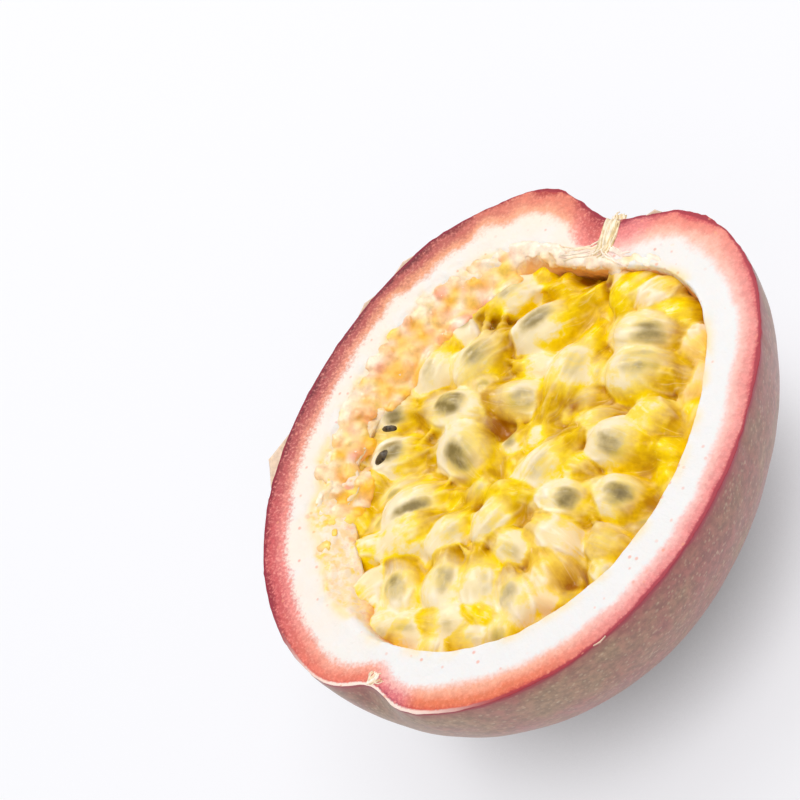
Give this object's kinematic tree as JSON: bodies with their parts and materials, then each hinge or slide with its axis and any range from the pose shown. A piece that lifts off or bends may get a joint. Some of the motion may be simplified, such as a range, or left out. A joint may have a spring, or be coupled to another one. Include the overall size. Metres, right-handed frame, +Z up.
{
  "type": "passion fruit half",
  "caption": "Half of a purple passion fruit, cut from stem to blossom end, lying cut face up: a thick rind and pith shell filled with glossy yellow juice sacs and dark seeds.",
  "frame": {"origin": "on the small flat spot that the half rests on, straight below the fruit's centre", "axes": "+Z up, out of the cut face; +Y along the fruit towards the stem end; +X across the cut face"},
  "size_m": [0.0583, 0.064, 0.0288],
  "materials": {
    "shell": "smooth purple-brown skin with pale pin-prick dots; on the cut, a maroon to pink rind over matt white spongy pith",
    "pulp": "wet, glossy and translucent yellow juice sacs with grey-black seeds showing through"
  },
  "bodies": {
    "root": {"shell": "shell", "pulp": "pulp"}
  },
  "joints": []
}
